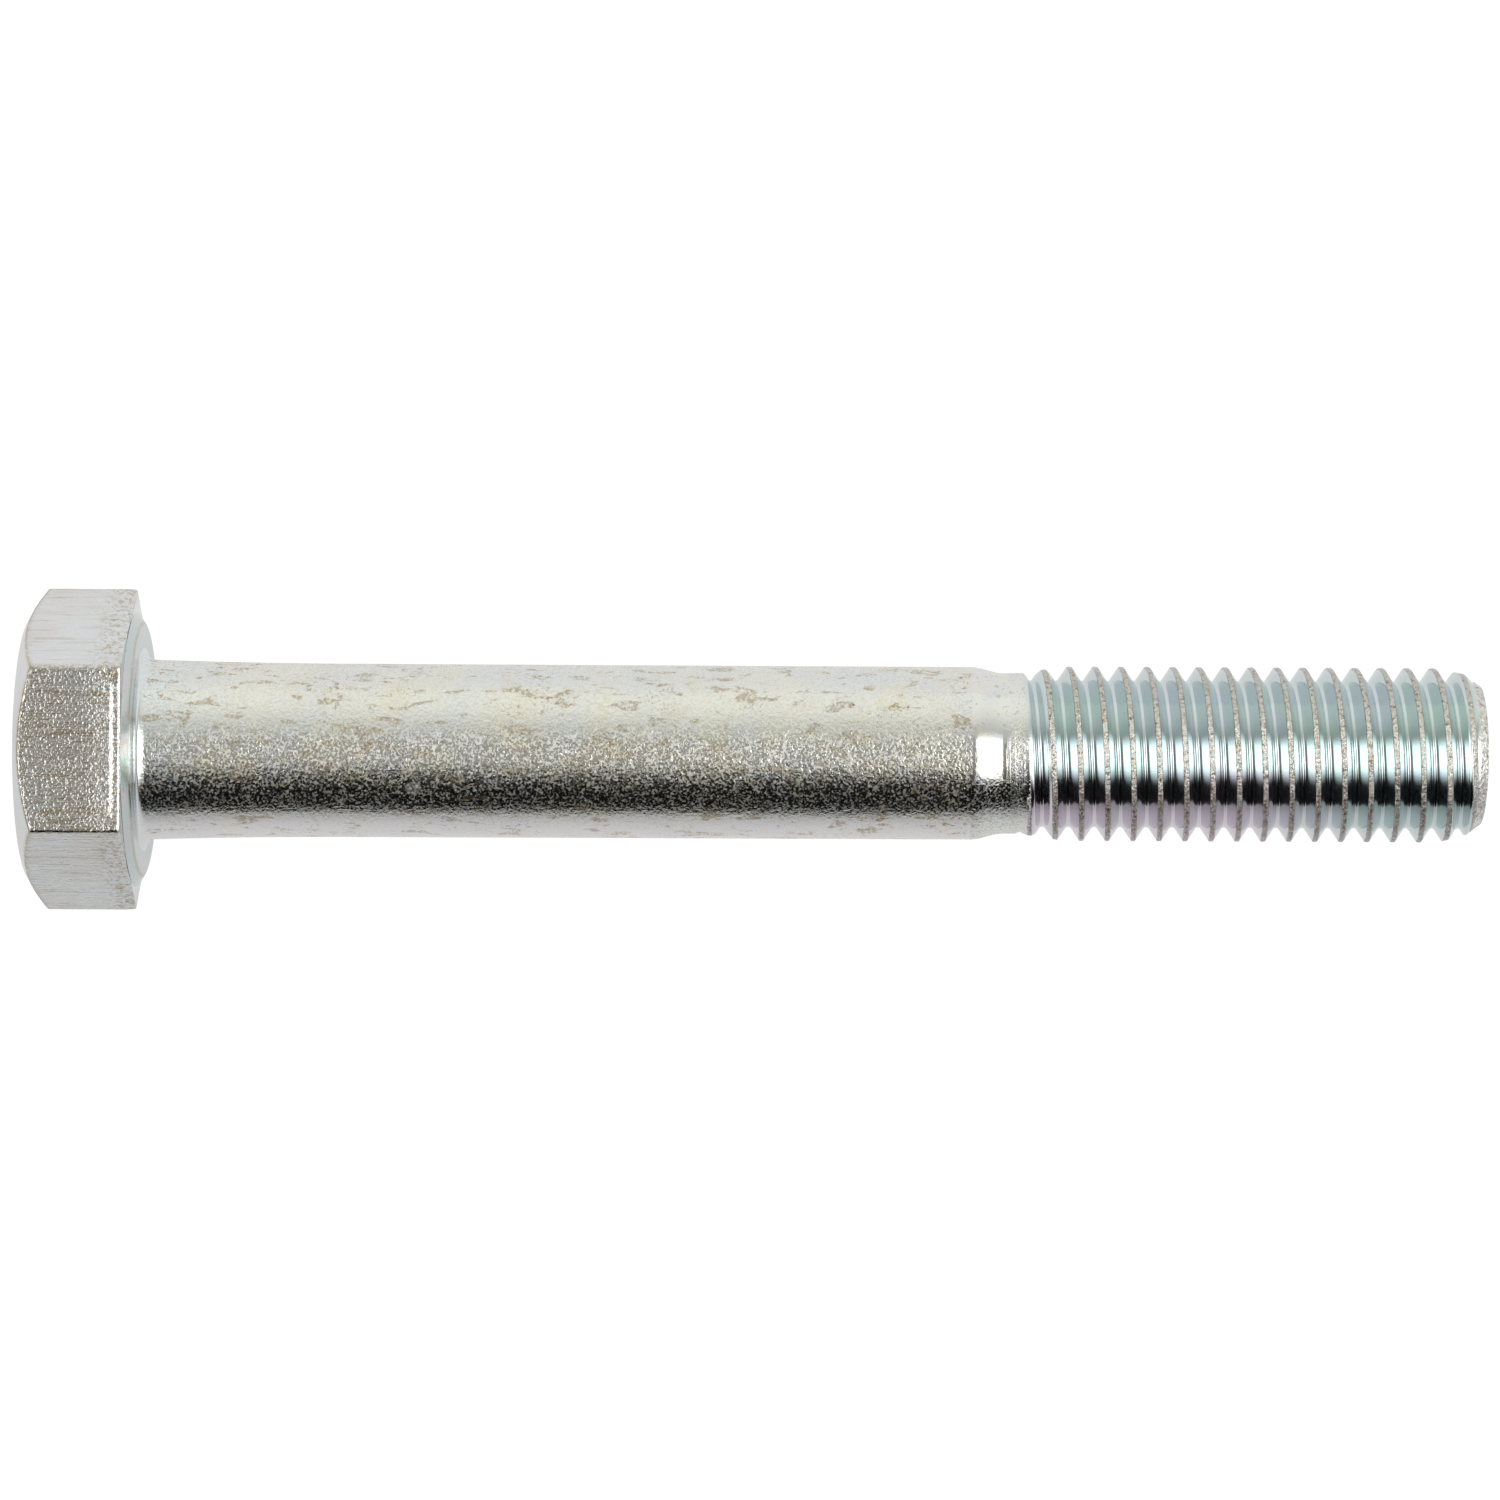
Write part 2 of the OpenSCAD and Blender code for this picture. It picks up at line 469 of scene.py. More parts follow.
@dataclass(frozen=True)
class DrawnZinc(ZincFinish):
    """The plain shank: pebbled drawn wire with tan rub marks, a few pits, and a smooth fillet."""

    drift_size: float = 5
    fillet_end: Span = (0.1, 0.8)
    underside: Span = (-4.7, -3.9)
    upside: Span = (-1.6, -0.2)
    smooth_grain: float = 0.3
    pebbles: Pattern = Pattern(0.25, 1.5, 0.2, 0.6)
    pebble_depth: float = 0.050
    swells: Pattern = Pattern(2.6, 1, shift=4)
    swell_depth: float = 0.02
    smears: Pattern = Pattern(0.8, 2, 0.8, stretch=(0.4, 1, 1), cut=(0.57, 0.63))
    smear_breaks: Span = (0.40, 0.54)
    patches: Pattern = Pattern(3.2, 2, 0.5, shift=3, cut=(0.48, 0.60))
    patch_breaks: Span = (0.56, 0.64)
    breaks: Pattern = Pattern(0.22, 3, 0.4, 0.7, shift=5)
    rub_share: float = 0.75
    rub_dulling: float = 0.10
    flecks: Pattern = Pattern(0.15, shift=14, cut=(0.45, 0.66))
    fleck_share: float = 0.34
    fleck_share_lost: float = 0.16
    fleck_dulling: float = 0.34
    haze: Pattern = Pattern(2.4, 3, 0.8, shift=8, cut=(0.50, 0.72))
    haze_tint: Colour = (0.74, 0.70, 0.56)
    haze_share: float = 0.5
    head_end: Span = (1.5, 6)
    head_tint: Colour = (0.71, 0.765, 0.79)
    head_share: float = 0.6
    # Painted reflection: a lavender tint on the -Y side stands in for the pale floor mirrored
    # there.
    under_reflection_tint: Colour = (0.75, 0.725, 0.745)
    under_reflection_share: float = 0.7
    pit_cell: float = 2.4
    pit_radius: float = 0.075
    pitted_share: float = 0.22
    pit_colour: Colour = (0.05, 0.045, 0.04)
    drop: Point = (18.5, -2.5, 5.3)
    drop_radius: float = 0.72
    drop_edge: float = 0.30
    drop_dulling: float = 0.14
    drop_smoothing: float = 0.5

    def paint(self, bench: Bench) -> Look:
        """Grain that fades out towards the fillet, rub marks in patches, pits, soft tints, and a
        painted floor reflection on the -Y side.
        """
        grainy = bench.rise("X", self.fillet_end)
        over = bench.rise("Y", self.underside)
        coarse = self.smooth_grain + (1 - self.smooth_grain) * over
        breaks = bench.noise(self.breaks)
        smears = bench.noise(self.smears) * breaks.step(*self.smear_breaks)
        patches = bench.noise(self.patches) * breaks.step(*self.patch_breaks)
        rubs = (smears + patches) * grainy
        drop = bench.spot(self.drop, self.drop_radius, self.drop_edge)
        fleck = bench.noise(self.flecks) * grainy * coarse
        fleck_share = self.fleck_share - self.fleck_share_lost * bench.rise("Y", self.upside)

        near_head = self.head_share - self.head_share * bench.rise("X", self.head_end)
        haze = bench.noise(self.haze) * grainy
        # Painted reflection: the -Y side takes a lavender tint, standing in for the pale floor that
        # it mirrors.
        painted_floor_reflection = self.under_reflection_share - self.under_reflection_share * over
        pits = bench.dots(self.pit_cell, self.pit_radius, self.pitted_share, shift=2)
        colour = bench.coats(
            self.ground(bench), (near_head, self.head_tint),
            (haze * self.haze_share, self.haze_tint), (painted_floor_reflection, self.under_reflection_tint),
            (fleck * fleck_share, self.stain), (rubs * self.rub_share, self.stain),
            (pits, self.pit_colour),
        )

        pebbles = bench.noise(self.pebbles) * grainy * (1 - self.drop_smoothing * drop) * coarse
        normal = bench.bump(bench.noise(self.swells), self.swell_depth)
        normal = bench.bump(pebbles, self.pebble_depth, normal)
        roughness = self.gloss_roughness + self.fleck_dulling * fleck
        roughness = roughness + self.rub_dulling * rubs + self.drop_dulling * drop
        return colour, roughness, normal


@dataclass(frozen=True)
class TrimmedZinc(ZincFinish):
    """The hexagon: flats sheared by the trimming die, and a smooth pressed crown."""

    drift_size: float = 4
    lines: Pattern = Pattern(0.17, 3, 0.1, 0.6, stretch=(0.05, 1, 1))
    line_depth: float = 0.050
    grain: Pattern = Pattern(0.20, 1, 0.3, 0.5, shift=1)
    grain_depth: float = 0.040
    crown_grain: float = 0.12
    top_flat: Span = (9.0, 9.3)
    worn_cut: Span = (0.40, 0.56)
    worn_share: float = 0.04
    worn_share_on_top: float = 0.44
    dirt_lines: Pattern = Pattern(0.221, 3, 0.3, 0.6, (0.06, 1, 1), shift=7, cut=(0.54, 0.66))
    dirt_share: float = 0.4
    dirt_share_on_top: float = 0.25
    specks: Pattern = Pattern(0.36, 3, 0.4, 0.7, shift=9)
    speck_depth: float = 0.05
    lip_cut: Span = (0.49, 0.59)
    lip_share: float = 0.6
    lip_share_lost: float = 0.7
    rim_cut: Span = (0.36, 0.50)
    corner_cut: Span = (0.40, 0.60)
    corner_share: float = 0.8
    edge_share: float = 0.75
    brown_dulling: float = 0.06

    def paint(self, bench: Bench) -> Look:
        """Fine lines along the axis, sparkling grain, wear on the upper flat, and edge dirt."""
        flat, corner, lip, rim = (bench.mark(name) for name in ("flat", "corner", "lip", "rim"))
        grain = bench.noise(self.grain)
        specks = bench.noise(self.specks)
        top = bench.rise("Z", self.top_flat)
        dirt = bench.noise(self.dirt_lines) * (self.dirt_share + self.dirt_share_on_top * top)
        worn = 1 - grain.step(*self.worn_cut)
        worn = worn * (self.worn_share + self.worn_share_on_top * top)
        lip_dirt = self.lip_share * specks.step(*self.lip_cut) * lip
        brown = (dirt + worn) * flat + lip_dirt * (1 - self.lip_share_lost * top)
        edge = rim * specks.step(*self.rim_cut)
        edge = edge + self.corner_share * corner * specks.step(*self.corner_cut)

        edge = edge * self.edge_share
        colour = bench.coats(self.ground(bench), (brown, self.stain), (edge, self.stain))
        rough_share = self.crown_grain + (1 - self.crown_grain) * flat
        normal = bench.bump(bench.noise(self.lines) * flat, self.line_depth)
        normal = bench.bump(grain * rough_share, self.grain_depth, normal)
        normal = bench.bump(specks * lip, self.speck_depth, normal)
        return colour, self.gloss_roughness + self.brown_dulling * brown, normal


@dataclass(frozen=True)
class PressedZinc(ZincFinish):
    """The washer face: pressed smooth, with a little unevenness and dirt along its edge."""

    specks: Pattern = Pattern(0.4, 3, 0.4, 0.65, shift=3)
    speck_cut: Span = (0.60, 0.70)
    speck_share: float = 0.5
    rim_cut: Span = (0.34, 0.48)
    rim_share: float = 0.4
    rim_dulling: float = 0.15
    dents: Pattern = Pattern(0.5, 3, 0.3)
    dent_depth: float = 0.02
    dull_patches: Pattern = Pattern(1.0, shift=5)
    patch_dulling: float = 0.1

    def paint(self, bench: Bench) -> Look:
        """A smooth face with soft tints, and a broken brown line round the outer edge."""
        specks = bench.noise(self.specks)
        rim = bench.mark("rim") * specks.step(*self.rim_cut)
        dirt = specks.step(*self.speck_cut) * self.speck_share
        edge = rim * self.rim_share
        colour = bench.coats(self.ground(bench), (dirt, self.stain), (edge, self.stain))
        normal = bench.bump(bench.noise(self.dents), self.dent_depth)
        roughness = self.gloss_roughness + self.patch_dulling * bench.noise(self.dull_patches)
        return colour, roughness + self.rim_dulling * rim, normal


@dataclass(frozen=True)
class BurnishedZinc(ZincFinish):
    """The neck: burnished by the reducing die, with faint rings past its taper."""

    rings: Pattern = Pattern(0.22, 3, 0.0, 0.6, stretch=(1, 0.03, 0.03))
    ring_depth: float = 0.05
    taper_end: Span = (57.6, 57.9)
    faint: float = 0.12
    underside: Span = (-2.2, -1.2)
    patches: Pattern = Pattern(1.6, 2, 0.4, shift=9, cut=(0.40, 0.55))
    grain: Pattern = Pattern(0.24, 1, 0.2, 0.5, shift=1)
    grain_depth: float = 0.045
    patch_grain: float = 0.3
    under_grain: float = 0.6
    dirt: Pattern = Pattern(0.3, 3, 0.5, 0.6, shift=4, cut=(0.54, 0.68))
    dirt_share: float = 0.5
    dirt_dulling: float = 0.08
    fleck_share: float = 0.2

    def paint(self, bench: Bench) -> Look:
        """A bright ground with dirt and grain in patches, flecked and duller on the -Y side."""
        past = bench.rise("X", self.taper_end)
        patchy = bench.noise(self.patches)
        dirt = bench.noise(self.dirt)
        under = 1 - bench.rise("Y", self.underside)
        fleck = bench.noise(self.flecks) * under
        colour = bench.coats(
            self.ground(bench), (dirt * self.dirt_share, self.stain),
            (fleck * self.fleck_share, self.stain),
        )
        normal = bench.bump(bench.noise(self.rings) * (self.faint + past), self.ring_depth)
        coarse = self.faint + self.patch_grain * patchy + self.under_grain * under
        normal = bench.bump(bench.noise(self.grain) * coarse, self.grain_depth, normal)
        roughness = self.gloss_roughness + self.dirt_dulling * dirt + self.fleck_dulling * fleck
        return colour, roughness, normal


@dataclass(frozen=True)
class RolledZinc(ZincFinish):
    """The thread: flanks polished by the rolls, and a rough seam along each crest."""

    drift_size: float = 3
    underside: Span = (-3.5, 0)
    waver: Pattern = Pattern(4, shift=15)
    waver_reach: float = 8
    # Painted reflection: a lavender tint on the -Y side stands in for the pale floor mirrored
    # there.
    reflected_floor_colour: Colour = (0.68, 0.64, 0.70)
    under_end: Span = (72, 84)
    seam_colour: Colour = (0.54, 0.49, 0.42)
    # Painted shade: the seam's darker brown on the -Y side, where the thread lies in shade.
    seam_shade_colour: Colour = (0.34, 0.28, 0.23)
    ragged: Pattern = Pattern(0.30, 3, 0.3, 0.65, stretch=(1, 0.6, 0.6), shift=4)
    raggedness: float = 1.1
    seam_cut: Span = (0.32, 0.62)
    seam_share: float = 0.35
    seam_dulling: float = 0.12
    specks: Pattern = Pattern(0.22, 3, 0.4, 0.7, shift=2)
    speck_cut: Span = (0.40, 0.56)
    speck_depth: float = 0.13
    flank_specks: float = 0.015
    blank_specks: float = 0.35
    pit_cut: Span = (0.56, 0.63)
    pit_colour: Colour = (0.16, 0.12, 0.08)
    pit_share: float = 0.8
    blank_colour: Colour = (0.75, 0.76, 0.73)
    blank_dulling: float = 0.05
    dirt_cut: Span = (0.54, 0.66)
    dirt_share: float = 0.6
    rings: Pattern = Pattern(0.26, 3, 0.0, 0.6, stretch=(1, 0.03, 0.03), shift=8)
    ring_depth: float = 0.045

    def paint(self, bench: Bench) -> Look:
        """Smooth tinted flanks with a painted floor reflection on the -Y side, a speckled seam
        where the mark says crest, painted darker on the -Y side as shade, and a plain blank.
        """
        crest = bench.mark("crest")
        blank = bench.mark("blank")
        ragged = self.raggedness * (bench.noise(self.ragged) - 0.5)
        seam = (crest + ragged).step(*self.seam_cut)
        specks = bench.noise(self.specks)
        waver = (bench.noise(self.waver) - 0.5) * (self.waver_reach * MM)
        low, high = self.underside
        under = 1 - (bench.axis("Y") + waver).step(low * MM, high * MM)
        # Painted reflection: the -Y side, short of the point, is tinted lavender, standing in for
        # the mirrored floor.
        floor_reflection_share = under * (1 - bench.rise("X", self.under_end))

        # Painted shade: the seam's colour darkens on the -Y side; elsewhere it is the worn seam's
        # own colour.
        worn = bench.colour_mix(under, self.seam_colour, self.seam_shade_colour)
        speckled = self.seam_share + (1 - self.seam_share) * specks.step(*self.speck_cut)
        pits = seam * specks.step(*self.pit_cut)
        dirt = specks.step(*self.dirt_cut) * blank
        colour = bench.coats(
            self.ground(bench), (floor_reflection_share, self.reflected_floor_colour), (blank, self.blank_colour),
            (seam * speckled, worn), (pits * self.pit_share, self.pit_colour),
            (self.dirt_share * dirt, self.stain),
        )

        normal = bench.bump(bench.noise(self.rings) * blank, self.ring_depth)
        coarse = self.flank_specks + seam + self.blank_specks * blank
        normal = bench.bump(specks * coarse, self.speck_depth, normal)
        fleck = bench.noise(self.flecks) * blank * under
        roughness = self.gloss_roughness + self.seam_dulling * seam + self.blank_dulling * blank
        return colour, roughness + self.fleck_dulling * fleck, normal


# ------------------------------------------------
# The bolt
# ------------------------------------------------


@dataclass(frozen=True)
class Extent:
    """Where a zone of the bolt lies in the frame: its ends along X and its reach from the axis."""

    start: float
    end: float
    reach_y: float
    reach_z: float

    @classmethod
    def of(cls, node: str) -> "Extent":
        """Reads a zone's box from the frame, in millimetres."""
        low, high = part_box(node)
        return cls(low.x / MM, high.x / MM, high.y / MM, high.z / MM)


@dataclass
class Zone:
    """One zone of the bolt: the node that it stands for, its place, and its finish."""

    node: str
    name: str
    extent: Extent
    finish: ZincFinish

    def skin(self) -> Skin:
        """The zone's surface."""
        raise NotImplementedError

    def build(self) -> bpy.types.Object:
        """Makes the zone's piece, dresses it, and fixes it to the bolt's body."""
        shown = self.skin().piece(self.name)
        self.finish.dress(shown)
        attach(shown, BODY)
        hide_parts(self.node)
        log.info("%s stands for %s: %d triangles", self.name, self.node, len(shown.data.polygons))
        return shown


@dataclass
class HexHead(Zone):
    """The hexagon, with a chamfered crown and edges rounded as trimming leaves them.

    The lip is the band by the underside where the flats roll inwards. A band or an edge says where
    a mark for the finish lies.
    """

    crown_share: float = 0.92
    chamfer_tan: float = TAN_30
    crown_cut: Span = (0.30, 0.22)
    rim_cut: Span = (0.10, 0.14)
    lip_rise: tuple[float, ...] = (0.72, 0.44, 0.14)
    lip_drop: float = 0.075
    lip_fade: Span = (0.3, 1.6)
    lip_at_corner: float = 0.25
    lip_bulge: float = 1.2
    lip_end: float = 0.08
    lip_cuts: tuple[Span, ...] = ((0.07, 0.07), (0.06, 0.08), (0.05, 0.05), (0.05, 0.10))
    hub: float = 0.4
    runs: tuple[int, ...] = (12, 5, 26, 3, 3, 2, 12)
    flat_columns: int = 22
    corner_columns: int = 9
    corner_reach_deg: float = 0.9
    flat_edge: Span = (0.25, 0.15)
    flat_start: float = 0.1
    corner_band: float = 0.16
    lip_band: Span = (2.6, 0.8)
    rim_middle: float = 0.03
    rim_band: float = 0.10
    rim_start: Span = (0.2, 0.4)

    def angles(self) -> FloatArray:
        """Column angles, close together round each of the six corners."""
        near = self.corner_reach_deg
        flat = np.linspace(near, 30, self.flat_columns + 1)[1:]
        corner = np.linspace(-near, near, self.corner_columns)
        sector = np.concatenate([-flat[-2::-1], corner, flat])
        return np.radians((sector + 60 * np.arange(6)[:, None]).ravel())

    @staticmethod
    def from_corner(angles: FloatArray) -> FloatArray:
        """How far each angle is from the nearest corner."""
        return np.abs((angles + SECTOR / 2) % SECTOR - SECTOR / 2)

    def outline(self, angles: FloatArray) -> FloatArray:
        """The hexagon's radius at each angle.

        On a flat it is apothem / cos(angle from the flat's middle). At a corner it is an arc of
        radius q about a point c from the axis: c cos b + sqrt(q^2 - c^2 sin^2 b), where b is the
        angle from the corner.
        """
        apothem = self.extent.reach_z
        q = (apothem / COS_30 - self.extent.reach_y) / (1 / COS_30 - 1)
        c = (apothem - q) / COS_30
        b = self.from_corner(angles)
        flat = apothem / np.cos(SECTOR / 2 - b)
        arc = c * np.cos(b) + np.sqrt(np.maximum(q**2 - (c * np.sin(b)) ** 2, 0))
        meet = math.atan2(q / 2, c + q * COS_30)
        return np.where(b < meet, arc, flat)

    def skin(self) -> Skin:
        """Crown, chamfer, flats and underside, from the axis out and back to it."""
        angles = self.angles()
        side = self.outline(angles)
        crown = self.crown_share * self.extent.reach_z
        start, end = self.extent.start, self.extent.end
        rim = start + (side - crown) * self.chamfer_tan
        gap = self.from_corner(angles) * side
        fade = smoothstep(gap, *self.lip_fade)
        drop = self.lip_drop * (self.lip_at_corner + (1 - self.lip_at_corner) * fade)
        bulge = side - self.lip_bulge * drop
        rolled, pressed, edge = self.lip_rise
        corners = [
            (self.hub, start), (crown, start), (side, rim), (side, end - rolled),
            (side - drop, end - pressed), (bulge, end - edge), (bulge - self.lip_end, end),
            (self.hub, end),
        ]
        path = rounded_path(corners, [self.crown_cut, self.rim_cut, *self.lip_cuts], self.runs)
        r, x = path[..., 0], path[..., 1]
        on_flat = smoothstep(side - r, *self.flat_edge) * smoothstep(x, rim, rim + self.flat_start)
        on_rim = np.exp(-(((x - rim - self.rim_middle) / self.rim_band) ** 2))
        marks = {
            "flat": on_flat,
            "corner": np.exp(-((gap / self.corner_band) ** 2)) * on_flat,
            "lip": smoothstep(x, end - self.lip_band[0], end - self.lip_band[1]) * on_flat,
            "rim": on_rim * smoothstep(r - crown, *self.rim_start),
        }
        return Skin.turned(path, angles, Ends.ON_AXIS, **marks)


@dataclass
class WasherFace(Zone):
    """The raised ring that bears on the work, with a soft sloping outer edge."""

    inner: float = 6.85
    shoulder: Span = (0.52, 0.17)
    face_inset: float = 0.82
    cuts: tuple[Span, ...] = ((0.05, 0.05), (0.16, 0.14), (0.16, 0.20))
    runs: tuple[int, ...] = (6, 2, 3, 8)
    rim_middle: float = 0.06
    rim_band: float = 0.14
    columns: int = 240

    def skin(self) -> Skin:
        """The ring's section, carried round the axis: a sloping edge, then the flat face."""
        start, end, outer = self.extent.start, self.extent.end, self.extent.reach_z
        section = [
            (self.inner, start), (outer, start), (outer - self.shoulder[0], end - self.shoulder[1]),
            (outer - self.face_inset, end), (self.inner, end),
        ]
        path = rounded_path(section, self.cuts, self.runs)
        past_face = path[..., 0] - outer + self.face_inset - self.rim_middle
        rim = np.exp(-((past_face / self.rim_band) ** 2))
        return Skin.turned(path, even_angles(self.columns), Ends.RING, rim=rim)


@dataclass
class Shank(Zone):
    """The plain body: the root inside the washer face, a fillet, a swell, and a long cylinder."""

    fillet: float = 0.8
    swell: float = 0.22
    swell_end: float = 14
    radius: float = 5.83
    lean: float = 0.03
    root_rows: int = 4
    fillet_rows: int = 20
    body_rows: int = 160
    columns: int = 240

    def skin(self) -> Skin:
        """The meridian: straight, then an arc, then a long body.

        The body's radius is radius + swell (1 - t)^2, where t runs from 0 to 1 along the swell.
        Past the swell it narrows by lean, evenly.
        """
        start, end, foot = self.extent.start, self.extent.end, self.extent.reach_z
        root_x = np.linspace(start, 0, self.root_rows)
        root = np.stack([np.full_like(root_x, foot), root_x], -1)
        a = np.linspace(0, math.pi / 2, self.fillet_rows)[1:]
        arc = np.stack([foot - self.fillet * np.sin(a), self.fillet * (1 - np.cos(a))], -1)
        x = np.linspace(self.fillet, end, self.body_rows)[1:]
        t = np.clip((x - self.fillet) / (self.swell_end - self.fillet), 0, 1)
        middle = (x - (self.swell_end + end) / 2) / (end - self.swell_end)
        r = self.radius + self.swell * (1 - t) ** 2 - self.lean * middle * t
        r = np.minimum(r, arc[-1, 0])
        path = np.concatenate([root, arc, np.stack([r, x], -1)])[:, None, :]
        return Skin.turned(path, even_angles(self.columns), Ends.ON_AXIS)


@dataclass
class ThreadNeck(Zone):
    """The taper from the shank down to the rolling diameter, as the reducing die leaves it."""

    start_radius: float = 5.815
    end_radius: float = 5.41
    slope: Span = (0.1, 2.3)
    rows: int = 60
    columns: int = 240

    def skin(self) -> Skin:
        """The radius falls along x as a smooth step."""
        x = np.linspace(self.extent.start, self.extent.end, self.rows)
        fall = smoothstep(x - self.extent.start, *self.slope)
        r = self.start_radius + (self.end_radius - self.start_radius) * fall
        path = np.stack([r, x], -1)[:, None, :]
        return Skin.turned(path, even_angles(self.columns), Ends.ON_AXIS)


@dataclass
class Thread(Zone):
    """The rolled right-hand thread, its runout and its point.

    A fade says over what distance from the thread's start the crests rise, or the grooves sink. A
    band, a start or an end says where a mark for the finish lies.
    """

    pitch: float = 1.75
    crest_radius: float = 5.9
    pitch_radius: float = 5.3917
    blank_radius: float = 5.41
    root_arc: float = 0.243
    flank_deg: float = 33.5
    crest_blend: float = 0.09
    seam_depth: float = 0.045
    seam_half_width: float = 0.05
    crest_fade: Span = (0, 4.4)
    groove_fade: Span = (0.44, 1.40)
    crest_lag: float = 0.83
    point_radius: float = 4.65
    point_tan: float = 0.78
    low_crest: float = 0.62
    low_crest_tan: float = 0.2
    low_crest_blend: float = 0.06
    full_crest_blend: float = 0.04
    point_blend: float = 0.05
    point_edge: float = 0.15
    edge_steps: tuple[Span, ...] = ((0.03, 0.08), (0.09, 0.13))
    face_edge: float = 0.2
    face_ring: Span = (2.5, 0.03)
    face_dish: float = 0.05
    crest_reach: float = 0.26
    flank_reach: float = 0.66
    crest_rows: int = 13
    flank_rows: int = 5
    root_rows: int = 9
    columns: int = 160
    crest_band: Span = (0.11, 0.25)
    crest_start: Span = (0.6, 2.0)
    blank_end: Span = (0.6, 1.6)
    point_band: Span = (0.8, 0.3)
    point_wear: float = 0.42

    def ridge(self, gap: FloatArray) -> FloatArray:
        """The full thread's radius at a distance from the middle of its crest.

        The flank rises 1 / tan(flank angle) for each step towards the crest. The crest cuts it off
        flat, with a seam exp(-(gap / width)^2) pressed into it. The root is an arc that touches
        both flanks.
        """
        lean = math.radians(self.flank_deg)
        v_bottom = self.pitch_radius - self.pitch / (4 * math.tan(lean))
        from_root = self.pitch / 2 - gap
        flank = v_bottom + from_root / math.tan(lean)
        centre = v_bottom + self.root_arc / math.sin(lean)
        arc = centre - np.sqrt(np.maximum(self.root_arc**2 - from_root**2, 0))
        r = np.where(from_root < self.root_arc * math.cos(lean), arc, flank)
        r = smooth_min(r, np.full_like(r, self.crest_radius), self.crest_blend)
        return r - self.seam_depth * np.exp(-((gap / self.seam_half_width) ** 2))

    def limit(self, x: FloatArray) -> FloatArray:
        """The largest radius that the point and the low last crests leave at x."""
        back = self.extent.end - x
        bevel = self.point_radius + back * self.point_tan
        low = self.crest_radius - self.low_crest + back * self.low_crest_tan
        cut = smooth_min(bevel, low, self.low_crest_blend)
        return smooth_min(cut, np.full_like(x, self.crest_radius), self.full_crest_blend)

    def radius(self, gap: FloatArray, x: FloatArray) -> FloatArray:
        """The ridge, faded in from the blank at the runout and cut down at the point."""
        over = self.ridge(gap) - self.blank_radius
        grown = np.maximum(over, 0) * smoothstep(x - self.extent.start, *self.crest_fade)
        sunk = np.maximum(-over, 0) * smoothstep(x - self.extent.start, *self.groove_fade)
        return smooth_min(self.blank_radius + grown - sunk, self.limit(x), self.point_blend)

    def phases(self) -> FloatArray:
        """Where the rows of one turn lie, in pitches from the middle of the crest."""
        near, far = self.crest_reach, self.flank_reach
        crest = np.linspace(-near, near, self.crest_rows)
        flank = np.linspace(near, far, self.flank_rows)[1:]
        root = np.linspace(far, self.pitch - far, self.root_rows)[1:-1]
        return np.concatenate([-flank[::-1], crest, flank, root]) / self.pitch

    def cap(self, rim: FloatArray, last: float) -> tuple[FloatArray, FloatArray]:
        """The rings that close the point: a rolled-over edge, then a slightly dished face.

        Args:
            rim: The radius of each column where the thread ends.
            last: The x at which it ends.

        Returns:
            The radius and the x of each point, columns x rings. The last ring is on the axis.
        """
        end = self.extent.end
        ring, ring_depth = self.face_ring
        rings = [(rim - inward, last + along) for inward, along in self.edge_steps]
        rings += [
            (rim - self.face_edge, end), (np.full_like(rim, ring), end - ring_depth),
            (np.zeros_like(rim), end - self.face_dish),
        ]
        r = np.stack([ring_r for ring_r, _ in rings], 1)
        return r, np.broadcast_to([ring_x for _, ring_x in rings], r.shape)

    def wear(self, gap: FloatArray, x: FloatArray, last: float) -> tuple[FloatArray, FloatArray]:
        """Shares from 0 to 1: how far each point is seam, and how far it is plain blank."""
        past = x - self.extent.start
        on_point = smoothstep(x, last - self.point_band[0], last - self.point_band[1])
        seam = (1 - smoothstep(gap, *self.crest_band)) * (1 - on_point)
        seam = np.maximum(seam * smoothstep(past, *self.crest_start), self.point_wear * on_point)
        return seam, np.maximum(1 - smoothstep(past, *self.blank_end), on_point)

    def skin(self) -> Skin:
        """Rows that follow the helix x = start + pitch (turn + phase + angle / full turn).

        Points that would pass either end are gathered into the ring there, and rings in to the
        axis close both ends. The last column joins the first one, a pitch further along.
        """
        phases = self.phases()
        first, last = self.extent.start, self.extent.end - self.point_edge
        turns = math.ceil((last - first) / self.pitch) + 3
        crest = self.extent.end - self.pitch * (self.crest_lag + turns - 2)
        step = np.arange(self.columns)[:, None] / self.columns
        turn = (np.arange(turns)[:, None] + phases).ravel()
        x = np.clip(crest + self.pitch * (turn + step), first, last)
        x = np.concatenate([np.full_like(step, first), x, np.full_like(step, last)], 1)
        near = (x - crest) / self.pitch - step
        gap = np.abs((near + 0.5) % 1 - 0.5) * self.pitch
        r = self.radius(gap, x)

        # Each column's points are numbered in turn, and those past an end take the end's number.
        rows = x.shape[1]
        index = np.arange(self.columns * rows).reshape(self.columns, rows)
        index = np.where(x <= first, index[:, :1], np.where(x >= last, index[:, -1:], index))
        shifted = np.minimum(np.arange(rows) + len(phases), rows - 1)
        shifted[0] = 0
        right = np.concatenate([index[1:], index[:1, shifted]])

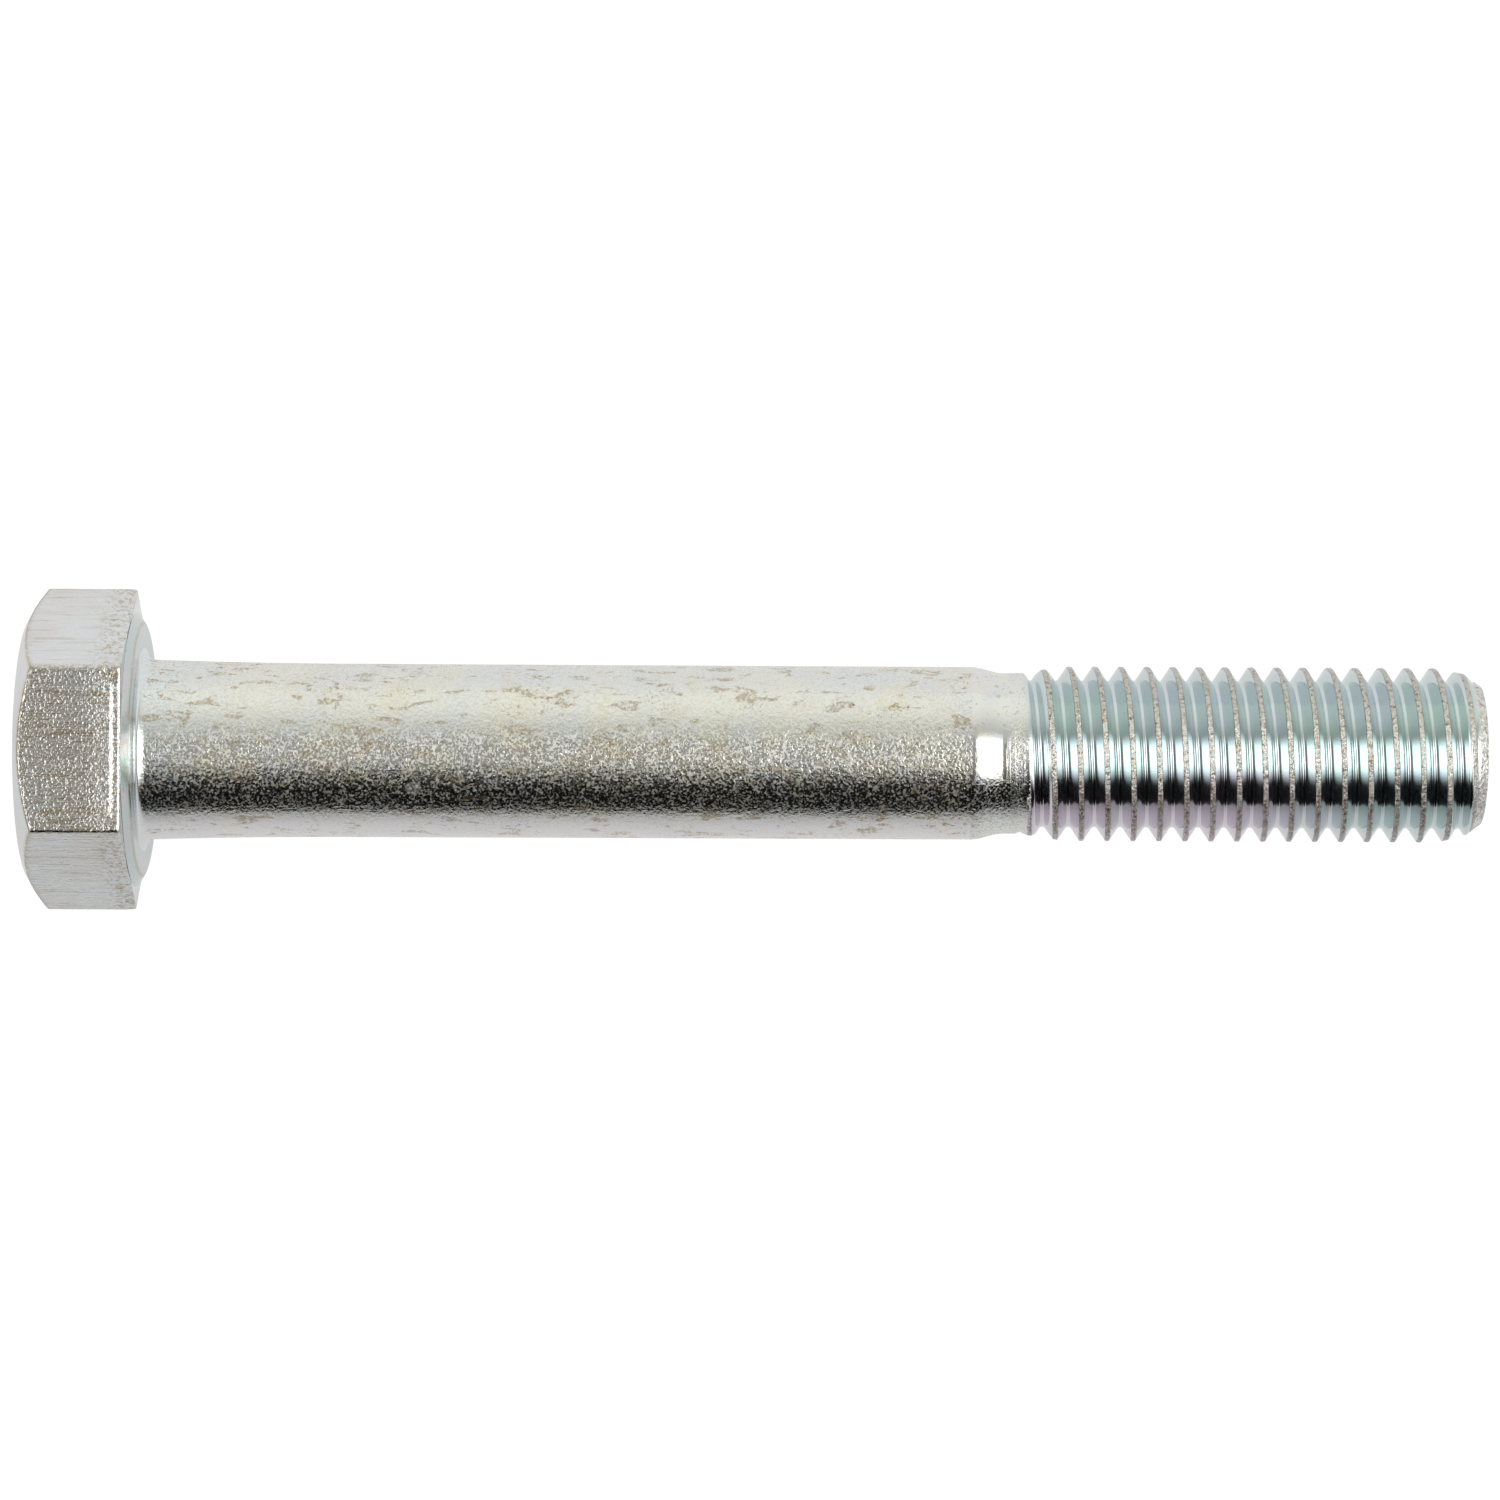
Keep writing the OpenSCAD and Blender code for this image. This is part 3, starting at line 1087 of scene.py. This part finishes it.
        # The cap's rings and the pole at the start are numbered after the helix's points.
        cap_r, cap_x = self.cap(r[:, -1], last)
        base = self.columns * rows
        cap = base + np.arange(cap_r.size).reshape(cap_r.shape)
        cap[:, -1] = cap[0, -1]
        cap = np.concatenate([index[:, -1:], cap], 1)
        start_pole = base + cap_r.size
        start = np.stack([np.full(self.columns, start_pole), index[:, 0]], 1)
        triangles = np.concatenate([
            Skin.sheet(index, right),
            Skin.sheet(cap, np.roll(cap, -1, axis=0)),
            Skin.sheet(start, np.roll(start, -1, axis=0)),
        ])

        angle = FULL_TURN * step
        angles = [np.broadcast_to(angle, part.shape).ravel() for part in (x, cap_r)]
        all_x = np.concatenate([x.ravel(), cap_x.ravel(), [first]])
        all_r = np.concatenate([r.ravel(), cap_r.ravel(), [0]])
        all_a = np.concatenate([*angles, [0]])
        points = np.stack([all_x, all_r * np.cos(all_a), all_r * np.sin(all_a)], -1)

        seam, plain = self.wear(gap, x, last)
        marks = {
            "crest": np.concatenate([seam.ravel(), np.full(cap_r.size, self.point_wear), [0]]),
            "blank": np.concatenate([plain.ravel(), np.ones(cap_r.size + 1)]),
        }
        return Skin(points, triangles, marks)


# ------------------------------------------------
# The studio
# ------------------------------------------------


@dataclass
class Studio:
    """A pale floor, soft light from all round, and a camera that looks straight down.

    The light's spans along y are shares of the way from the middle (0) to the +Y side (1). Those
    of the two boxes are angles from straight up towards an end of the bolt, in radians.
    """

    floor_z: float
    floor_size: float = 8000
    floor_glow: float = 0.92
    floor_grey: float = 0.13
    mirrored_grey: float = 0.20
    mirrored_glow: float = 0.26
    mirrored_rise: float = 0.42
    mirrored_fade: Span = (-100, 40)
    white: Colour = (1.0, 1.0, 1.0)
    dark: Colour = (0.003, 0.003, 0.003)
    dim: Colour = (0.36, 0.345, 0.315)
    dim_from: Span = (-0.68, -0.18)
    panel_near: Colour = (0.56, 0.56, 0.52)
    panel_far: Colour = (1.02, 1.02, 0.96)
    panel_fade: Span = (0.35, 0.95)
    panel_from: Span = (0.23, 0.30)
    box_light: Colour = (3.1, 3.1, 3.1)
    right_box_from: Span = (0.18, 0.30)
    left_box_from: Span = (0.30, 0.44)
    box_until: Span = (1.25, 1.36)
    box_bottom: Span = (-0.66, -0.18)
    box_top: Span = (0.08, 0.48)
    below: Colour = (0.6, 0.6, 0.6)
    horizon: Span = (-0.02, 0.02)
    camera_height: float = 340
    field: float = 101.15
    aim: tuple[float, float] = (40.83, 0.15)
    camera_turn_deg: float = 0.27
    sensor: float = 36

    def floor(self) -> bpy.types.Object:
        """The floor that the bolt lies on.

        It is plain white to look at. What the metal mirrors of it is a painted glow that fades
        towards -Y, standing in for a table under a soft light that stands on the +Y side.
        """
        half, z = self.floor_size * MM / 2, self.floor_z * MM
        mesh = bpy.data.meshes.new("floor")
        square = [(-half, -half, z), (half, -half, z), (half, half, z), (-half, half, z)]
        mesh.from_pydata(square, [], [(0, 1, 2, 3)])
        material = bpy.data.materials.new("floor_white")
        material.use_nodes = True
        bench = Bench(material.node_tree)

        def coat(grey: float, glow: Any) -> Signal:
            """A matt coat of a grey that also glows."""
            sockets = {
                "Base Color": (grey, grey, grey), "Roughness": 1.0, "Specular IOR Level": 0.0,
                "Emission Color": self.white, "Emission Strength": glow,
            }
            return bench.make("ShaderNodeBsdfPrincipled", {}, sockets)

        # Painted light: the mirrored floor glows brighter towards +Y, as a table lit from that side
        # would.
        glow = self.mirrored_glow + self.mirrored_rise * bench.rise("Y", self.mirrored_fade)
        mirrored = coat(self.mirrored_grey, glow)
        plain = coat(self.floor_grey, self.floor_glow)
        seen = bench.make("ShaderNodeLightPath", {}, {}, "Is Camera Ray")
        surface = bench.make("ShaderNodeMixShader", {}, {0: seen, 1: mirrored, 2: plain})
        bench.make("ShaderNodeOutputMaterial", {}, {"Surface": surface})
        mesh.materials.append(material)
        shown = bpy.data.objects.new("floor", mesh)
        bpy.context.scene.collection.objects.link(shown)
        shown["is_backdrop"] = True
        return shown

    def light(self) -> None:
        """Soft light by direction, behind a plain white backdrop.

        A wide warm panel stands on the +Y side, and a bright box past each end of the bolt. The
        space over the camera is dim, and the -Y side is dark.
        """
        world = bpy.data.worlds.new("studio")
        world.use_nodes = True
        bench = Bench(world.node_tree)
        way = bench.make("ShaderNodeTexCoord", {}, {}, "Generated")
        x, y, z = (bench.make("ShaderNodeSeparateXYZ", {}, {0: way}, name) for name in "XYZ")
        turn = x.calc("ARCTAN2", x, z)
        boxes = turn.step(*self.right_box_from) + (0 - turn).step(*self.left_box_from)
        boxes = boxes * (1 - abs(turn).step(*self.box_until))
        boxes = boxes * y.step(*self.box_bottom) * (1 - y.step(*self.box_top))
        panel = bench.colour_mix(y.step(*self.panel_fade), self.panel_near, self.panel_far)
        seen = bench.make("ShaderNodeLightPath", {}, {}, "Is Camera Ray")
        glow = bench.coats(
            self.dark, (y.step(*self.dim_from), self.dim), (y.step(*self.panel_from), panel),
            (boxes, self.box_light), (1 - z.step(*self.horizon), self.below), (seen, self.white),
        )
        surface = bench.make("ShaderNodeBackground", {}, {"Color": glow, "Strength": 1.0})
        bench.make("ShaderNodeOutputWorld", {}, {"Surface": surface})
        bpy.context.scene.world = world

    def camera(self) -> None:
        """The camera, level over the bolt, with +X to the right and +Y up."""
        data = bpy.data.cameras.new("camera")
        data.sensor_width = self.sensor
        data.lens = self.sensor * self.camera_height / self.field
        data.clip_start, data.clip_end = 0.01, 10
        shown = bpy.data.objects.new("camera", data)
        shown.location = (self.aim[0] * MM, self.aim[1] * MM, self.camera_height * MM)
        shown.rotation_euler = (0, 0, math.radians(self.camera_turn_deg))
        bpy.context.scene.collection.objects.link(shown)
        bpy.context.scene.camera = shown
        bpy.context.scene.view_settings.view_transform = "Standard"


def main() -> None:
    """Builds the bolt's zones and the studio, with the floor at the foot of the model's box."""
    logging.basicConfig(level=logging.INFO, format="%(name)s: %(message)s")
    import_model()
    cad_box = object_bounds()

    pieces = [
        HexHead("hex_head", "trimmed_hexagon", Extent.of("hex_head"),
                TrimmedZinc("trimmed zinc", "trimmed_zinc", clean=(0.71, 0.735, 0.745),
                            tint=(0.69, 0.68, 0.67), gloss_roughness=0.12)),
        WasherFace("washer_face", "washer_ring", Extent.of("washer_face"),
                   PressedZinc("pressed zinc", "pressed_zinc", clean=(0.54, 0.635, 0.62),
                               tint=(0.62, 0.61, 0.62))),
        Shank("shank", "plain_shank", Extent.of("shank"),
              DrawnZinc("drawn zinc", "drawn_zinc")),
        ThreadNeck("thread_neck", "burnished_neck", Extent.of("thread_neck"),
                   BurnishedZinc("burnished zinc", "burnished_zinc", gloss_roughness=0.13)),
        Thread("thread", "rolled_thread", Extent.of("thread"),
               RolledZinc("rolled zinc", "rolled_zinc", clean=(0.585, 0.68, 0.67),
                          tint=(0.605, 0.67, 0.70), gloss_roughness=0.12)),
    ]
    for zone in pieces:
        zone.build()

    studio = Studio(floor_z=cad_box[0].z / MM)
    studio.floor()
    studio.light()
    studio.camera()


if __name__ == "__main__":
    main()
